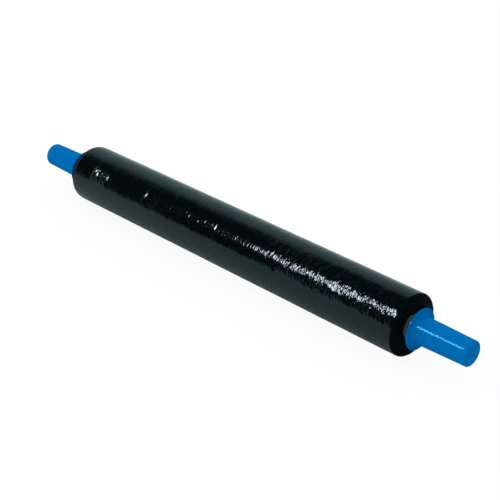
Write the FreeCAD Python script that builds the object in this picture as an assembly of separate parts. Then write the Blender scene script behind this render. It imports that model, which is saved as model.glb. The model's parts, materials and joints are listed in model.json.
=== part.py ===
import FreeCAD, Part
import math
import os

# Hand roll of stretch wrap lying on its side.
# Black film is wound on a cardboard core, and a blue moulded handle is pushed into each end of the core.
# The core turns on the handles' spigots, so that film runs off while the grips are held still.
# X runs along the roll's axis, +Z is up, and the origin is at the middle of the whole length, where the roll rests.

# Film
film_width = 500.0  # along the axis, at the outer turns
film_diameter = 66.8
film_edge_round_right = 4.2  # the outer turns draw in towards each end
film_edge_round_left = 8.0
film_end_swell = 2.8  # each end swells out towards the core
turn_ridge_width = 1.6  # bands of turns stand out on the ends
turn_ridge_height = 0.25
tail_step = 0.2  # the free end of the last turn stands this proud
tail_angle = 205.0  # degrees from -Y over the top, so behind the roll and low
rest_flat_width = 10.5  # the soft roll lies on a narrow flat

# Core
core_bore = 38.0
core_wall = 2.0
core_overhang = 2.9  # past the film where the ends swell out to it

# Handles
grip_length = 61.5
grip_root_diameter = 29.3
grip_tip_diameter = 26.9
grip_tip_round = 1.5
grip_root_fillet = 3.5
flange_diameter = 44.4
flange_thickness = 1.1
flange_edge_round = 0.4
spigot_length = 55.0
spigot_lead_in = 1.5
spigot_clearance = 0.1  # radial, for the core to turn on it
handle_wall = 2.2
handle_inner_round = 1.0
seat_gap_right = 1.5  # between the core's end and the flange
seat_gap_left = 5.2

# Worked out from the sizes above
film_radius = film_diameter / 2
core_radius = core_bore / 2 + core_wall
core_length = film_width + 2 * (film_end_swell + core_overhang)
rest_flat_depth = film_radius - math.sqrt(film_radius**2 - (rest_flat_width / 2) ** 2)
axis_height = film_radius - rest_flat_depth
flange_face_right = core_length / 2 + seat_gap_right + flange_thickness
flange_face_left = core_length / 2 + seat_gap_left + flange_thickness
film_middle = (flange_face_left - flange_face_right) / 2

X_AXIS = FreeCAD.Vector(1, 0, 0)
AXIS_POINT = FreeCAD.Vector(0, 0, 0)


def section_point(x, r):
    """A point of a half section: x along the axis, r out from it."""
    return FreeCAD.Vector(x, 0, r)


def rounded_outline(corners):
    """A closed outline through (x, r, round) corners, with a tangent arc at each corner that has a round."""
    edges = []
    start = None
    first = None
    count = len(corners)
    for i, (x, r, corner_round) in enumerate(corners):
        corner = section_point(x, r)
        before = section_point(*corners[i - 1][:2])
        after = section_point(*corners[(i + 1) % count][:2])
        to_before = (before - corner).normalize()
        to_after = (after - corner).normalize()
        half_turn = to_before.getAngle(to_after) / 2
        if corner_round:
            cut = corner_round / math.tan(half_turn)
            arc_start = corner + to_before * cut
            arc_end = corner + to_after * cut
            bisector = (to_before + to_after).normalize()
            centre = corner + bisector * (corner_round / math.sin(half_turn))
            arc_middle = centre - bisector * corner_round
        else:
            arc_start = arc_end = corner
        if start is not None:
            edges.append(Part.LineSegment(start, arc_start).toShape())
        else:
            first = arc_start
        if corner_round:
            edges.append(Part.Arc(arc_start, arc_middle, arc_end).toShape())
        start = arc_end
    edges.append(Part.LineSegment(start, first).toShape())
    return Part.Wire(edges)


def turned(outline):
    """The solid that a half section makes when it is turned about the roll's axis."""
    return Part.Face(outline).revolve(AXIS_POINT, X_AXIS, 360)


def arc_over(start, end, height):
    """An arc from start to end of a half section that stands height out on the left-hand side of the way."""
    way = end - start
    out = FreeCAD.Vector(-way.z, 0, way.x).normalize()
    return Part.Arc(start, (start + end) / 2 + out * height, end).toShape()


def film_end(outward, edge_round, outside):
    """One end of the film from the core out to the outside: ridges of turns on a cone, then the rounded edge."""
    half = film_width / 2
    core_edge = section_point(outward * (half + film_end_swell), core_radius)
    rim = section_point(outward * half, outside - edge_round)
    bands = max(1, round((rim - core_edge).Length / turn_ridge_width))
    band = (rim - core_edge) / bands
    height = -outward * turn_ridge_height
    edges = [arc_over(core_edge + band * i, core_edge + band * (i + 1), height) for i in range(bands)]
    shoulder = section_point(outward * (half - edge_round), outside)
    quarter_sagitta = edge_round * (1 - math.sqrt(0.5))
    return edges + [arc_over(rim, shoulder, -outward * quarter_sagitta)]


def film_section():
    """Half section of the wound film, out to the top of the free end's step."""
    outside = film_radius + tail_step
    right = film_end(1, film_edge_round_right, outside)
    left = film_end(-1, film_edge_round_left, outside)
    bore = Part.LineSegment(left[0].Vertexes[0].Point, right[0].Vertexes[0].Point).toShape()
    top = Part.LineSegment(right[-1].Vertexes[-1].Point, left[-1].Vertexes[-1].Point).toShape()
    return Part.Wire([bore, *right, top, *reversed(left)])


def last_turn(length):
    """A bar whose section is the last turn's outline: round below, and growing over the top up to the free end."""
    inner = section_point(-length / 2, film_radius)
    outer = section_point(-length / 2, film_radius + tail_step)
    opposite = section_point(-length / 2, -film_radius)
    round_half = Part.Arc(inner, FreeCAD.Vector(-length / 2, film_radius, 0), opposite)
    grown_radius = film_radius + tail_step / 2
    growing_half = Part.Arc(opposite, FreeCAD.Vector(-length / 2, -grown_radius, tail_step / 2), outer)
    step = Part.LineSegment(outer, inner)
    bar = Part.Face(Part.Wire([side.toShape() for side in (round_half, growing_half, step)]))
    bar = bar.extrude(FreeCAD.Vector(length, 0, 0))
    bar.rotate(AXIS_POINT, X_AXIS, 90 - tail_angle)
    return bar


def film_roll():
    """Every turn of film as one solid, with the free end's step and the flat that the roll lies on."""
    length = film_width + 4 * film_end_swell
    roll = turned(film_section()).common(last_turn(length))
    below = Part.makeBox(
        length,
        film_diameter,
        film_diameter,
        FreeCAD.Vector(-length / 2, -film_radius, -axis_height - film_diameter),
    )
    return roll.cut(below)


def core_tube():
    """The cardboard tube that the film is wound on."""
    start = FreeCAD.Vector(-core_length / 2, 0, 0)
    outside = Part.makeCylinder(core_radius, core_length, start, X_AXIS)
    bore = Part.makeCylinder(core_bore / 2, core_length, start, X_AXIS)
    return outside.cut(bore)


def handle():
    """One moulded handle with its flange's face at x = 0: closed grip to +X, open spigot to -X, one wall to both."""
    root = grip_root_diameter / 2
    tip = grip_tip_diameter / 2
    flange = flange_diameter / 2
    spigot = core_bore / 2 - spigot_clearance
    spigot_end = -flange_thickness - spigot_length
    shoulder = -handle_wall
    return turned(
        rounded_outline(
            [
                (grip_length, 0, 0),
                (grip_length, tip, grip_tip_round),
                (0, root, grip_root_fillet),
                (0, flange, flange_edge_round),
                (-flange_thickness, flange, flange_edge_round),
                (-flange_thickness, spigot, 0),
                (spigot_end + spigot_lead_in, spigot, 0),
                (spigot_end, spigot - spigot_lead_in / 2, 0),
                (spigot_end, spigot - handle_wall, 0),
                (shoulder, spigot - handle_wall, handle_inner_round),
                (shoulder, root - handle_wall, handle_inner_round),
                (grip_length - handle_wall, tip - handle_wall, handle_inner_round),
                (grip_length - handle_wall, 0, 0),
            ]
        )
    )


def right_handle():
    """The handle at the +X end."""
    piece = handle()
    piece.translate(FreeCAD.Vector(flange_face_right, 0, 0))
    return piece


def left_handle():
    """The same moulding at the -X end, drawn out of the core a little further."""
    piece = handle()
    piece.rotate(AXIS_POINT, FreeCAD.Vector(0, 0, 1), 180)
    piece.translate(FreeCAD.Vector(-flange_face_left, 0, 0))
    return piece


def write(name, shape):
    """Places a sub-part in the row's frame and writes it."""
    shape.translate(FreeCAD.Vector(film_middle, 0, axis_height))
    if not shape.isValid() or len(shape.Solids) != 1:
        raise ValueError(name + " is not one valid solid")
    shape.Solids[0].exportStep("parts/" + name + ".step")
    print(name, round(shape.Volume), "mm3")


os.makedirs("parts", exist_ok=True)
for maker in (film_roll, core_tube, left_handle, right_handle):
    write(maker.__name__, maker())
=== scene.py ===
import json
import math
import random

import bmesh
import bpy
from mathutils import Matrix, Vector, noise


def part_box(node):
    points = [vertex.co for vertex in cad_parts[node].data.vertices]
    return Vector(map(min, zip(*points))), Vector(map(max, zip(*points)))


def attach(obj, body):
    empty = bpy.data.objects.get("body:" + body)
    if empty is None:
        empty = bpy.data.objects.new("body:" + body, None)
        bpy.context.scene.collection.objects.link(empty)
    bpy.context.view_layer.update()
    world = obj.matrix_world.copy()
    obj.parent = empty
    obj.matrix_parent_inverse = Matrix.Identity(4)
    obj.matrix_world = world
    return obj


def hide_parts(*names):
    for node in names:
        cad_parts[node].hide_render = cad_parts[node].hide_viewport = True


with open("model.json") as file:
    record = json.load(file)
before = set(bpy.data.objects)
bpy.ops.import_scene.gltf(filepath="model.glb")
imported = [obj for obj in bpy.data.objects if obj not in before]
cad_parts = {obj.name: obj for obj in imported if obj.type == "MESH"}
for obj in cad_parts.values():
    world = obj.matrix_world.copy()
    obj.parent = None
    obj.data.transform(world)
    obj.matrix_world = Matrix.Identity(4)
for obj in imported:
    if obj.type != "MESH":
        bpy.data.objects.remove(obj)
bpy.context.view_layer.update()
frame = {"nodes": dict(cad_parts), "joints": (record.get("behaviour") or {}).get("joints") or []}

# The roll lies along X, +Z is up. Lengths in the settings are millimetres, angles are degrees.
# An angle round the roll starts at -Y and goes up over the top to +Y.
mm = 0.001
scene = bpy.context.scene
axisHeight = frame["joints"][0]["pos_m"][2]
filmLow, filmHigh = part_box("film_roll")
rollCentre = Vector(((filmLow.x + filmHigh.x) / 2, 0, axisHeight))
print("frame loaded, roll's axis at", round(axisHeight / mm, 2), "mm")


def hexColour(text):
    # sRGB hex to linear RGBA
    channels = [int(text[i:i + 2], 16) / 255 for i in (1, 3, 5)]
    return [c / 12.92 if c <= 0.04045 else ((c + 0.055) / 1.055) ** 2.4 for c in channels] + [1.0]


def addNode(tree, kind, settings=None, values=None, links=None):
    node = tree.nodes.new(kind)
    for name, value in (settings or {}).items():
        setattr(node, name, value)
    for socket, value in (values or {}).items():
        node.inputs[socket].default_value = value
    for socket, source in (links or {}).items():
        tree.links.new(source, node.inputs[socket])
    return node


def startMaterial(name):
    # a new material with nothing in it but its output
    material = bpy.data.materials.new(name)
    material.use_nodes = True
    tree = material.node_tree
    tree.nodes.clear()
    return material, tree, tree.nodes.new("ShaderNodeOutputMaterial")


# Camera, from a fit to the outlines in the photograph
cameraLook = {
    "azimuth": 45.03,
    "elevation": 28.77,
    "distance": 1361.9,
    "right": 17.03,   # off the line to the roll's middle
    "up": -10.86,
    "focal": 1238.3,  # pixels of the 500 pixel wide photograph
    "photoWidth": 500,
    "sensor": 36.0,
}


def makeCamera(look):
    a, e = math.radians(look["azimuth"]), math.radians(look["elevation"])
    back = Vector((math.sin(a) * math.cos(e), -math.cos(a) * math.cos(e), math.sin(e)))
    right = Vector((math.cos(a), math.sin(a), 0))
    up = back.cross(right)
    data = bpy.data.cameras.new("camera")
    data.sensor_width = look["sensor"]
    data.lens = look["sensor"] * look["focal"] / look["photoWidth"]
    data.clip_start, data.clip_end = 0.01, 100
    camera = bpy.data.objects.new("camera", data)
    scene.collection.objects.link(camera)
    place = rollCentre + (back * look["distance"] + right * look["right"] + up * look["up"]) * mm
    camera.matrix_world = Matrix.Translation(place) @ (-back).to_track_quat("-Z", "Y").to_matrix().to_4x4()
    scene.camera = camera


makeCamera(cameraLook)
print("camera placed")


# Studio: soft white light that comes a little more from above and from the left, a white floor and one flash.
# The gloss also shows the room: a pale backdrop behind the roll, and unlit space above it and on the camera's
# side.
studioLook = {
    "white": "#FFFFFF",
    "lightLevel": 0.86,
    "lightFrom": (-0.44, 0.0, 0.33),  # how much more light comes from a direction than from across it
    "backdrop": "#ADCACB",
    "unlit": "#0E1011",
    "backdropPlane": (-0.78, 0.78, -1.0),  # normal of the plane that parts the backdrop from the unlit space
    "backdropEdge": (-0.10, 0.14),         # the soft edge between them
    "floorSize": 16.0,           # metres
    "floorColour": "#F3F3F3",
    "floorGlow": 0.93,           # share of the floor that stays white in spite of the shadow
    "floorInGloss": "#BBD2D4",   # the paper looks greyer in the gloss
    "flashFrom": (-0.465, -0.637, 0.621),
    "flashAt": (0.255, 0.0, 0.05),   # metres, as all the flash's lengths
    "flashDistance": 2.0,
    "flashWide": 0.52,
    "flashHigh": 0.44,
    "flashPower": 32.0,
    "flashColour": "#FBF3FF",
}


def makeWorld(look):
    world = bpy.data.worlds.new("paleStudio")
    scene.world = world
    world.use_nodes = True
    tree = world.node_tree
    tree.nodes.clear()
    output = tree.nodes.new("ShaderNodeOutputWorld")
    direction = addNode(tree, "ShaderNodeTexCoord").outputs["Generated"]
    height = addNode(tree, "ShaderNodeVectorMath", {"operation": "DOT_PRODUCT"}, {1: look["backdropPlane"]},
                     {0: direction})
    low, high = look["backdropEdge"]
    behind = addNode(tree, "ShaderNodeMapRange", {"interpolation_type": "SMOOTHSTEP"},
                     {"From Min": low, "From Max": high}, {"Value": height.outputs["Value"]})
    room = addNode(tree, "ShaderNodeMix", {"data_type": "RGBA"},
                   {"A": hexColour(look["unlit"]), "B": hexColour(look["backdrop"])},
                   {"Factor": behind.outputs["Result"]})
    # what lights the surfaces
    more = addNode(tree, "ShaderNodeVectorMath", {"operation": "DOT_PRODUCT"}, {1: look["lightFrom"]},
                   {0: direction})
    level = addNode(tree, "ShaderNodeMath", {"operation": "ADD"}, {1: look["lightLevel"]},
                    {0: more.outputs["Value"]})
    # the camera sees plain white behind the roll, and the gloss sees the room
    path = addNode(tree, "ShaderNodeLightPath")
    seen = addNode(tree, "ShaderNodeMix", {"data_type": "RGBA"}, {"B": hexColour(look["white"])},
                   {"Factor": path.outputs["Is Camera Ray"], "A": level.outputs[0]})
    colour = addNode(tree, "ShaderNodeMix", {"data_type": "RGBA"}, None,
                     {"Factor": path.outputs["Is Glossy Ray"], "A": seen.outputs["Result"],
                      "B": room.outputs["Result"]})
    light = addNode(tree, "ShaderNodeBackground", values={"Strength": 1.0},
                    links={"Color": colour.outputs["Result"]})
    tree.links.new(light.outputs[0], output.inputs["Surface"])


def makeFloor(look):
    bm = bmesh.new()
    bmesh.ops.create_grid(bm, x_segments=1, y_segments=1, size=look["floorSize"] / 2)
    mesh = bpy.data.meshes.new("floor")
    bm.to_mesh(mesh)
    bm.free()
    floor = bpy.data.objects.new("floor", mesh)
    scene.collection.objects.link(floor)
    material, tree, output = startMaterial("whitePaperFloor")
    path = addNode(tree, "ShaderNodeLightPath")
    colour = addNode(tree, "ShaderNodeMix", {"data_type": "RGBA"},
                     {"A": hexColour(look["floorColour"]), "B": hexColour(look["floorInGloss"])},
                     {"Factor": path.outputs["Is Glossy Ray"]})
    paper = addNode(tree, "ShaderNodeBsdfDiffuse", links={"Color": colour.outputs["Result"]})
    glow = addNode(tree, "ShaderNodeEmission", values={"Color": hexColour(look["white"]), "Strength": 1.0})
    seen = addNode(tree, "ShaderNodeMath", {"operation": "MULTIPLY"}, {1: look["floorGlow"]},
                   {0: path.outputs["Is Camera Ray"]})
    mixed = addNode(tree, "ShaderNodeMixShader",
                    links={0: seen.outputs[0], 1: paper.outputs[0], 2: glow.outputs[0]})
    tree.links.new(mixed.outputs[0], output.inputs["Surface"])
    mesh.materials.append(material)


def makeFlash(look):
    data = bpy.data.lights.new("flash", "AREA")
    data.shape = "RECTANGLE"
    data.size, data.size_y = look["flashWide"], look["flashHigh"]
    data.energy = look["flashPower"]
    data.color = hexColour(look["flashColour"])[:3]
    flash = bpy.data.objects.new("flash", data)
    scene.collection.objects.link(flash)
    away = Vector(look["flashFrom"]).normalized()
    # its wide side lies as near to the roll's direction as it can
    side = (Vector((1, 0, 0)) - away * away.x).normalized()
    turn = Matrix((side, away.cross(side), away)).transposed().to_4x4()
    place = Vector(look["flashAt"]) + away * look["flashDistance"]
    flash.matrix_world = Matrix.Translation(place) @ turn
    flash.visible_camera = False
    flash.visible_diffuse = False   # it only makes the gloss shine, the even light does the rest


makeWorld(studioLook)
makeFloor(studioLook)
makeFlash(studioLook)
scene.view_settings.view_transform = "Standard"
print("studio ready")


# Stretch film
filmLook = {
    "width": 500.0,
    "radius": 33.55,
    "coreRadius": 21.0,
    "roundRight": 4.2,
    "roundLeft": 8.0,
    "endSwell": 2.8,
    "tailStep": 0.2,
    "tailAngle": 205.0,
    "growFrom": 25.0,      # the free end's extra height grows from here up to tailAngle
    "edgeFrom": 0.75,      # the turns' edges begin at this share of the end's round
    "alongCuts": 590,
    "aroundSteps": 148,
    "arcSteps": 7,
    "endCuts": 22,
    "wave": (0.10, 55.0),      # height and length of the soft waves
    "lump": (0.34, 10.0),      # of the small lumps
    "wrinkle": (0.13, 3.2, 7.0),  # height, length along the roll, length round it
    "pleat": (0.03, 2.9, 9.0),    # the same of the sharper pleats between them
    "pleatShift": 7.0,            # keeps their noise apart from the wrinkles'
    "wallTop": (5.0, 0.5),        # these forms come in over so many mm below the outer turn
    "slackAlong": (30.0, 130.0),   # the turns lie slack, and so wrinkled, from here to the right end
    "slackRound": (10.0, 26.0, 62.0, 84.0),     # between these angles
    "slackRoundEnd": (10.0, 26.0, 54.0, 72.0),  # and nearer the right end between these
    "slackNarrows": (60.0, 160.0),              # the one goes over into the other from here to here
    "slackPatch": (-216.0, -210.0, -190.0, -183.0),       # and from here to here near the left end
    "slackPatchRound": (16.0, 24.0, 46.0, 54.0),
    "taut": 0.32,                  # what is left of the wrinkles elsewhere
    "coreShadeCover": (3.7, 5.0),            # painted shade: the inmost turns are drawn slid out over the core, dark film where shade falls on it; how far, how many mm of them
    "coreShownAngles": (-4.0, 8.0, 58.0, 70.0),  # but not between these angles, where the core shows
    "ringWidth": 0.45,             # bands of turns on the ends stand out or lie back
    "ringStep": 0.16,
    "ringCount": 80,
    "ringFade": (0.6, 2.0, 0.8),   # over so many mm at the outer edge, and at the core
    "seed": 11,
    "grainAlong": 2.0,             # the finest wrinkles, drawn as bump
    "grainRound": 6.0,
    "grainDepth": 0.8,
    "colour": "#02080A",
    "shineTint": "#E1FBFF",
    "roughness": 0.11,
    "ior": 1.4,
    "edgeBand": 0.5,               # turns are 0.02 mm apart, drawn as wider bands so that they show
    "edgeDepth": 0.15,
    "edgeColour": "#010A0C",
    "edgeRoughness": 0.6,
    "edgeSpecular": 0.03,
}

# Single folds that catch the light: place along the roll, from and to angle, height, width
foldLook = [
    (-119.0, 31.0, 55.0, 0.40, 1.4),
    (-99.0, 30.0, 47.0, 0.22, 1.2),
    (-46.7, 36.0, 47.0, 0.22, 1.2),
    (-31.5, 33.0, 43.0, 0.22, 1.2),
    (-22.2, 40.0, 51.0, 0.18, 1.2),
    (-5.3, 38.0, 57.0, 0.34, 1.4),
    (110.4, 28.0, 50.0, 0.42, 3.0),
    (-210.0, 30.0, 52.0, 0.40, 1.6),
    (-205.0, 28.0, 50.0, 0.34, 1.3),
    (-200.0, 25.0, 46.0, 0.38, 1.4),
    (-194.0, 22.0, 42.0, 0.34, 1.4),
    (-188.0, 20.0, 36.0, 0.28, 1.4),
]
foldLean = 0.08     # mm along the roll per degree, as they lean in the photograph
foldEnds = (6, -4)  # each fades over these degrees about its ends
foldReach = (4, 8)  # it adds nothing further off than so many widths, or degrees past its ends

# Thin creases that run slantwise: places along the roll with the angle there, then height and width
creaseLook = [
    ([(-112.0, 8.0), (-106.0, -8.0), (-100.0, -21.0), (-93.0, -32.0), (-80.0, -37.0), (-66.0, -36.0)],
     0.07, 0.9),
    ([(-107.0, 6.0), (-101.0, -9.0), (-95.0, -20.0), (-87.0, -29.0), (-72.0, -33.0)], 0.05, 0.8),
    ([(157.0, 24.0), (160.5, 10.0), (161.5, -6.0), (161.0, -20.0)], 0.06, 0.8),
    ([(-214.0, 12.0), (-209.0, -4.0), (-207.5, -26.0)], 0.08, 1.2),
]
creaseReach = 9.0   # mm from a crease to where it adds nothing


def smoothStep(low, high, value):
    t = min(1.0, max(0.0, (value - low) / (high - low)))
    return t * t * (3 - 2 * t)


def drawTo(bm, vert, x, r, pieces=1):
    # carries the outline on from vert in a straight line
    start, goal = vert.co.copy(), Vector((x, -r, 0))
    for i in range(pieces):
        new = bm.verts.new(start.lerp(goal, (i + 1) / pieces))
        bm.edges.new((vert, new))
        vert = new
    return vert


def drawArc(bm, vert, x, r, degrees, steps):
    # carries the outline on from vert round the centre at x, r
    centre = Vector((x, -r, 0))
    arm = vert.co - centre
    for i in range(steps):
        turn = Matrix.Rotation(math.radians(degrees) * (i + 1) / steps, 3, "Z")
        new = bm.verts.new(centre + turn @ arm)
        bm.edges.new((vert, new))
        vert = new
    return vert


def spinOutline(bm, steps):
    # turns the closed outline about X into a solid and points its faces out
    bmesh.ops.spin(bm, geom=bm.verts[:] + bm.edges[:], cent=(0, 0, 0), axis=(1, 0, 0), angle=math.tau,
                   steps=steps, use_merge=True, use_duplicate=False)
    bmesh.ops.remove_doubles(bm, verts=bm.verts[:], dist=1e-4)
    bmesh.ops.recalc_face_normals(bm, faces=bm.faces[:])


def finishPiece(bm, name, materials, body, replaced, place):
    # scales the millimetre mesh to metres, puts it in place and hands it to the frame
    bmesh.ops.transform(bm, matrix=Matrix.Translation(place) @ Matrix.Scale(mm, 4), verts=bm.verts[:])
    mesh = bpy.data.meshes.new(name)
    bm.to_mesh(mesh)
    bm.free()
    piece = bpy.data.objects.new(name, mesh)
    scene.collection.objects.link(piece)
    for material in materials:
        mesh.materials.append(material)
    mesh.shade_smooth()
    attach(piece, body)
    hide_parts(replaced)
    return piece


def window(value, edges):
    # 1 between the two middle edges, falling to 0 at the outer ones
    return smoothStep(edges[0], edges[1], value) * smoothStep(edges[3], edges[2], value)


def foldHeight(x, angle):
    # what the single folds add at one place on the film
    height = 0.0
    widths, degrees = foldReach
    for along, low, high, rise, width in foldLook:
        if abs(x - along) < widths * width and low - degrees < angle < high + degrees:
            middle, half = (low + high) / 2, (high - low) / 2
            bend = foldLean * (angle - middle)
            ends = smoothStep(half + foldEnds[0], half + foldEnds[1], abs(angle - middle))
            height += rise * ends * math.exp(-((x - along - bend) / width) ** 2)
    return height


def creaseHeight(x, angle, radius):
    # what the slanting creases add, by the distance to the nearest stretch of each
    height = 0.0
    for points, rise, width in creaseLook:
        nearest = creaseReach
        here = Vector((x, math.radians(angle) * radius))
        for (x0, a0), (x1, a1) in zip(points, points[1:]):
            start = Vector((x0, math.radians(a0) * radius))
            way = Vector((x1, math.radians(a1) * radius)) - start
            t = min(1.0, max(0.0, (here - start).dot(way) / way.length_squared))
            nearest = min(nearest, (here - start - way * t).length)
        height += rise * math.exp(-(nearest / width) ** 2)
    return height


def makeFilm(look, materials):
    random.seed(look["seed"])
    half, radius, core = look["width"] / 2, look["radius"], look["coreRadius"]
    bm = bmesh.new()
    start = bm.verts.new((half + look["endSwell"], -core, 0))
    vert = drawTo(bm, start, half, radius - look["roundRight"], look["endCuts"])
    vert = drawArc(bm, vert, half - look["roundRight"], radius - look["roundRight"], -90, look["arcSteps"])
    vert = drawTo(bm, vert, -half + look["roundLeft"], radius, look["alongCuts"])
    vert = drawArc(bm, vert, -half + look["roundLeft"], radius - look["roundLeft"], -90, look["arcSteps"])
    vert = drawTo(bm, vert, -half - look["endSwell"], core, look["endCuts"] // 2)
    bm.edges.new((vert, start))
    spinOutline(bm, look["aroundSteps"])

    ringSteps = [random.uniform(-look["ringStep"], look["ringStep"]) for _ in range(look["ringCount"])]
    waveHeight, waveLength = look["wave"]
    lumpHeight, lumpLength = look["lump"]
    wrinkleHeight, wrinkleLong, wrinkleRound = look["wrinkle"]
    pleatHeight, pleatLong, pleatRound = look["pleat"]
    coreShadeCoverReach, coreShadeCoverTurns = look["coreShadeCover"]
    topFrom, topTo = look["wallTop"]
    rimFrom, rimTo, coreFade = look["ringFade"]
    sweep = look["tailAngle"] - look["growFrom"]
    slackLayer = bm.verts.layers.float.new("slack")
    for vert in bm.verts:
        x, r = vert.co.x, math.hypot(vert.co.y, vert.co.z)
        if r < core + 0.01:
            continue
        angle = math.degrees(math.atan2(vert.co.z, -vert.co.y))
        nearEnd = smoothStep(*look["slackNarrows"], x)
        slack = (1 - nearEnd) * window(angle, look["slackRound"])
        slack += nearEnd * window(angle, look["slackRoundEnd"])
        slack *= smoothStep(*look["slackAlong"], x)
        slack += window(x, look["slackPatch"]) * window(angle, look["slackPatchRound"])
        slack = look["taut"] + (1 - look["taut"]) * slack
        vert[slackLayer] = slack
        out = Vector((0, vert.co.y / r, vert.co.z / r))
        wall = smoothStep(core, radius, r)
        grown = (angle - look["growFrom"]) % 360
        tail = look["tailStep"] * (1 - math.cos(math.radians(grown))) / 2 if grown < sweep else 0.0
        around = out * radius
        place = Vector((x, around.y, around.z))
        wave = waveHeight * noise.noise(place / waveLength)
        lump = lumpHeight * noise.noise(place / lumpLength)
        wrinkle = wrinkleHeight * noise.noise(
            Vector((x / wrinkleLong, around.y / wrinkleRound, around.z / wrinkleRound)))
        pleat = pleatHeight * (1 - 4 * abs(noise.noise(
            Vector((x / pleatLong, around.y / pleatRound + look["pleatShift"], around.z / pleatRound)))))
        single = foldHeight(x, angle) + creaseHeight(x, angle, radius)
        onWall = smoothStep(radius - topFrom, radius - topTo, r)
        rise = (tail + wave) * wall
        rise += ((lump + wrinkle + pleat) * slack + single) * onWall
        vert.co += out * rise
        # each end shows the edges of the turns, some further out than others
        endWeight = smoothStep(radius - rimFrom, radius - rimTo, r) * smoothStep(core, core + coreFade, r)
        ring = ringSteps[int(r / look["ringWidth"]) % len(ringSteps)]
        # painted shade: the inmost turns are pushed out over the core's end, so dark film stands where shade
        # falls on the core, except in the angles where it shows
        coreShadeCover = coreShadeCoverReach * (1 - window(angle, look["coreShownAngles"])) * smoothStep(core + coreShadeCoverTurns, core, r)
        vert.co.x += math.copysign(ring * endWeight + coreShadeCover, x)
    # the roll has sunk a little where it lies
    for vert in bm.verts:
        vert.co.z = max(vert.co.z, -axisHeight / mm)
    for face in bm.faces:
        centre = face.calc_center_median()
        endRound = look["roundRight"] if centre.x > 0 else look["roundLeft"]
        onEnd = abs(centre.x) > half - endRound * look["edgeFrom"]
        if onEnd and math.hypot(centre.y, centre.z) > core:
            face.material_index = 1
    piece = finishPiece(bm, "stretch_film", materials, "roll", "film_roll", rollCentre)
    print("film made,", len(piece.data.polygons), "faces")
    return piece


def filmMaterial(look):
    # LLDPE stretch film, blown and wound tight: nearly black, mirror smooth between fine cross wrinkles,
    # so that it shows the white room as grey bands and breaks up the flash
    material, tree, output = startMaterial("blackStretchFilm")
    place = addNode(tree, "ShaderNodeTexCoord").outputs["Object"]
    # wrinkles every 2 mm or so along the roll, drawn out round it to some 6 mm
    along, across = 1 / (look["grainAlong"] * mm), 1 / (look["grainRound"] * mm)
    cross = addNode(tree, "ShaderNodeMapping", {"vector_type": "POINT"}, {"Scale": (along, across, across)},
                    {"Vector": place})
    wrinkles = addNode(tree, "ShaderNodeTexNoise", values={"Scale": 1.0, "Detail": 1.0, "Roughness": 0.5},
                       links={"Vector": cross.outputs[0]})
    # they are deep only where the turns lie slack
    slack = addNode(tree, "ShaderNodeAttribute", {"attribute_name": "slack"})
    height = addNode(tree, "ShaderNodeMath", {"operation": "MULTIPLY"},
                     links={0: wrinkles.outputs["Fac"], 1: slack.outputs["Fac"]})
    bump = addNode(tree, "ShaderNodeBump", values={"Strength": 1.0, "Distance": look["grainDepth"] * mm},
                   links={"Height": height.outputs[0]})
    film = addNode(tree, "ShaderNodeBsdfPrincipled",
                   values={"Base Color": hexColour(look["colour"]), "Roughness": look["roughness"],
                           "IOR": look["ior"], "Specular Tint": hexColour(look["shineTint"])},
                   links={"Normal": bump.outputs[0]})
    tree.links.new(film.outputs[0], output.inputs["Surface"])
    return material


def filmEdgeMaterial(look):
    # the slit edges of some hundred turns, side by side: a dull black that takes in the light
    material, tree, output = startMaterial("filmTurnEdges")
    place = addNode(tree, "ShaderNodeTexCoord").outputs["Object"]
    centred = addNode(tree, "ShaderNodeMapping", values={"Location": (0, 0, -axisHeight), "Scale": (0, 1, 1)},
                      links={"Vector": place})
    away = addNode(tree, "ShaderNodeVectorMath", {"operation": "LENGTH"}, links={0: centred.outputs[0]})
    turns = addNode(tree, "ShaderNodeTexNoise", {"noise_dimensions": "1D"},
                    {"Scale": 1 / (look["edgeBand"] * mm), "Detail": 2.0}, {"W": away.outputs["Value"]})
    bump = addNode(tree, "ShaderNodeBump", values={"Strength": 0.6, "Distance": look["edgeDepth"] * mm},
                   links={"Height": turns.outputs["Fac"]})
    edges = addNode(tree, "ShaderNodeBsdfPrincipled",
                    values={"Base Color": hexColour(look["edgeColour"]), "Roughness": look["edgeRoughness"],
                            "IOR": look["ior"], "Specular IOR Level": look["edgeSpecular"]},
                    links={"Normal": bump.outputs[0]})
    tree.links.new(edges.outputs[0], output.inputs["Surface"])
    return material


makeFilm(filmLook, [filmMaterial(filmLook), filmEdgeMaterial(filmLook)])


# Cardboard core
coreLook = {
    "fibre": 0.8,
    "fibreDepth": 0.05,
    # painted shade: these are far darker than the board's own grey-brown, for the shade that falls on the
    # core between the film's end and the flange
    "dark": "#2E2F2C",
    "light": "#484741",
    "roughness": 0.85,
}


def boardMaterial(look):
    # spirally wound grey board, cut off square, its tone differing at random over the fibres; both colours
    # are set far darker than the board's own grey-brown, as painted shade for the shade that the film's end
    # and the flange cast on it
    material, tree, output = startMaterial("woundGreyBoardPaintedShade")
    place = addNode(tree, "ShaderNodeTexCoord").outputs["Object"]
    fibres = addNode(tree, "ShaderNodeTexNoise", values={"Scale": 1 / (look["fibre"] * mm), "Detail": 3.0},
                     links={"Vector": place})
    colour = addNode(tree, "ShaderNodeMix", {"data_type": "RGBA"},
                     {"A": hexColour(look["dark"]), "B": hexColour(look["light"])},
                     {"Factor": fibres.outputs["Fac"]})
    bump = addNode(tree, "ShaderNodeBump", values={"Strength": 0.5, "Distance": look["fibreDepth"] * mm},
                   links={"Height": fibres.outputs["Fac"]})
    board = addNode(tree, "ShaderNodeBsdfPrincipled", values={"Roughness": look["roughness"], "IOR": 1.45},
                    links={"Base Color": colour.outputs["Result"], "Normal": bump.outputs[0]})
    tree.links.new(board.outputs[0], output.inputs["Surface"])
    return material


core = frame["nodes"]["core_tube"]
core.data.materials.clear()
core.data.materials.append(boardMaterial(coreLook))
print("core dressed")


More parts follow.
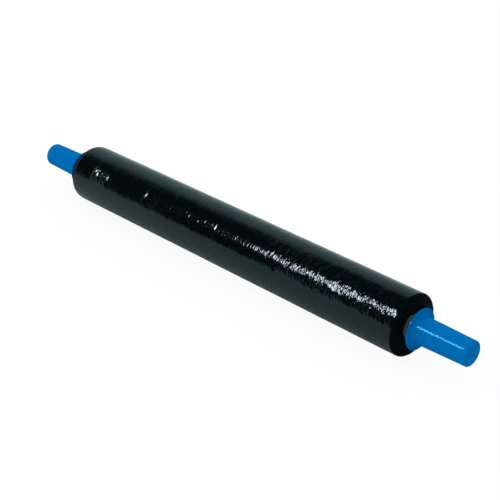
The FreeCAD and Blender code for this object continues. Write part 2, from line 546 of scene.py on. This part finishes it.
# Handles
handleLook = {
    "gripLength": 61.5,
    "gripRootRadius": 14.65,
    "gripTipRadius": 13.45,
    "tipRound": 1.5,
    "rootFillet": 3.5,
    "flangeRadius": 22.2,
    "flangeThickness": 1.1,
    "flangeRound": 0.4,
    "spigotRadius": 18.9,
    "spigotLength": 55.0,
    "leadIn": 1.5,
    "wall": 2.2,
    "innerRound": 1.0,
    "gripCuts": 14,      # so that the rounds at its ends don't bend the shading of the whole grip
    "turnSteps": 128,
    "roundSegments": 6,
    "sharpFrom": 40,
    "pigment": 15.0,     # the colour is a shade uneven over so many mm
    "dark": "#0069AE",
    "light": "#006EB7",
    "roughness": 0.5,
    "mouldGrain": 0.6,
    "mouldDepth": 0.02,
    "shineColour": "#78F0FF",
    "shineRoughness": 0.12,
    "shineShare": 0.0095,
}


def roundRing(bm, x, r, size, segments):
    # rounds the ring of edges at x, r
    ring = [e for e in bm.edges
            if all(abs(v.co.x - x) < 0.01 and abs(math.hypot(v.co.y, v.co.z) - r) < 0.01 for v in e.verts)]
    bmesh.ops.bevel(bm, geom=ring, offset=size, offset_type="OFFSET", segments=segments, profile=0.5,
                    affect="EDGES", material=-1)


def makeHandle(look, name, material, body, replaced, outward):
    # outward is 1 for the handle at the +X end and -1 for the other
    root, tip, flange = look["gripRootRadius"], look["gripTipRadius"], look["flangeRadius"]
    spigot, wall, back = look["spigotRadius"], look["wall"], -look["flangeThickness"]
    end, length = -look["flangeThickness"] - look["spigotLength"], look["gripLength"]
    shoulder = -wall
    bm = bmesh.new()
    vert = drawTo(bm, bm.verts.new((length, 0, 0)), length, tip)
    vert = drawTo(bm, vert, 0, root, look["gripCuts"])
    for x, r in [(0, flange), (back, flange), (back, spigot), (end + look["leadIn"], spigot),
                 (end, spigot - look["leadIn"] / 2), (end, spigot - wall), (shoulder, spigot - wall),
                 (shoulder, root - wall), (length - wall, tip - wall), (length - wall, 0)]:
        vert = drawTo(bm, vert, x, r)
    spinOutline(bm, look["turnSteps"])
    for x, r, size in [(length, tip, look["tipRound"]), (0, root, look["rootFillet"]),
                       (0, flange, look["flangeRound"]), (back, flange, look["flangeRound"]),
                       (shoulder, spigot - wall, look["innerRound"]),
                       (shoulder, root - wall, look["innerRound"]),
                       (length - wall, tip - wall, look["innerRound"])]:
        roundRing(bm, x, r, size, look["roundSegments"])
    if outward < 0:
        bmesh.ops.rotate(bm, verts=bm.verts[:], cent=(0, 0, 0), matrix=Matrix.Rotation(math.pi, 3, "Z"))
    low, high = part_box(replaced)
    tipPlace = high.x if outward > 0 else low.x
    place = Vector((tipPlace - outward * length * mm, 0, axisHeight))
    piece = finishPiece(bm, name, [material], body, replaced, place)
    piece.data.set_sharp_from_angle(angle=math.radians(look["sharpFrom"]))
    print(name, "made,", len(piece.data.polygons), "faces")
    return piece


def handleMaterial(look):
    # injection moulded polypropylene, coloured all through: a full blue with a satin gloss
    material, tree, output = startMaterial("bluePolypropylene")
    place = addNode(tree, "ShaderNodeTexCoord").outputs["Object"]
    flow = addNode(tree, "ShaderNodeTexNoise", values={"Scale": 1 / (look["pigment"] * mm), "Detail": 2.0},
                   links={"Vector": place})
    colour = addNode(tree, "ShaderNodeMix", {"data_type": "RGBA"},
                     {"A": hexColour(look["dark"]), "B": hexColour(look["light"])},
                     {"Factor": flow.outputs["Fac"]})
    # fine texture of the mould
    grain = addNode(tree, "ShaderNodeTexNoise",
                    values={"Scale": 1 / (look["mouldGrain"] * mm), "Detail": 2.0}, links={"Vector": place})
    bump = addNode(tree, "ShaderNodeBump", values={"Strength": 0.12, "Distance": look["mouldDepth"] * mm},
                   links={"Height": grain.outputs["Fac"]})
    body = addNode(tree, "ShaderNodeBsdfPrincipled",
                   values={"Roughness": look["roughness"], "Specular IOR Level": 0.0},
                   links={"Base Color": colour.outputs["Result"], "Normal": bump.outputs[0]})
    # a thin shine on top, the same at every angle and tinted, so that the blue stays full up to the outline
    shine = addNode(tree, "ShaderNodeBsdfGlossy",
                    values={"Color": hexColour(look["shineColour"]), "Roughness": look["shineRoughness"]},
                    links={"Normal": bump.outputs[0]})
    plastic = addNode(tree, "ShaderNodeMixShader", values={0: look["shineShare"]},
                      links={1: body.outputs[0], 2: shine.outputs[0]})
    tree.links.new(plastic.outputs[0], output.inputs["Surface"])
    return material


bluePlastic = handleMaterial(handleLook)
makeHandle(handleLook, "right_grip_moulding", bluePlastic, "right_grip", "right_handle", 1)
makeHandle(handleLook, "left_grip_moulding", bluePlastic, "left_grip", "left_handle", -1)
